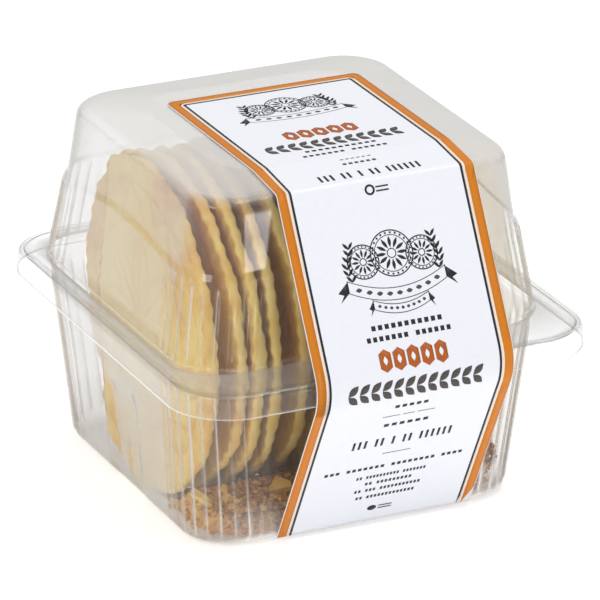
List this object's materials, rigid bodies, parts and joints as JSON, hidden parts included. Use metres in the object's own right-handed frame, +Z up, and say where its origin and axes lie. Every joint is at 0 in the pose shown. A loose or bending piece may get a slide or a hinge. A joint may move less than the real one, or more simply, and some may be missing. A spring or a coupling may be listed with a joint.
{
  "type": "clear clamshell pack of pizzelle wafer cookies",
  "caption": "Shut clear clamshell tray and lid holding a row of round embossed wafer cookies on edge, closed by a paper label over the top and front.",
  "frame": {"origin": "centre of the pack's footprint box, on the surface it stands on", "axes": "+X left to right along the labelled front, +Y from the front to the back, +Z up"},
  "size_m": [0.164, 0.1806, 0.1361],
  "materials": {
    "clear_plastic": "thin clear thermoformed plastic, smooth and glossy, slightly hazy",
    "label_paper": null,
    "wafer": "dry baked pale golden wafer with a stamped relief, browner at its edges"
  },
  "bodies": {
    "root": {"tray": "clear_plastic", "lid": "clear_plastic", "label": "label_paper", "pizzelle_01": "wafer", "pizzelle_02": "wafer", "pizzelle_03": "wafer", "pizzelle_04": "wafer", "pizzelle_05": "wafer", "pizzelle_06": "wafer", "pizzelle_07": "wafer", "pizzelle_08": "wafer", "pizzelle_09": "wafer", "pizzelle_10": "wafer", "pizzelle_11": "wafer", "pizzelle_12": "wafer", "pizzelle_13": "wafer"}
  },
  "joints": []
}
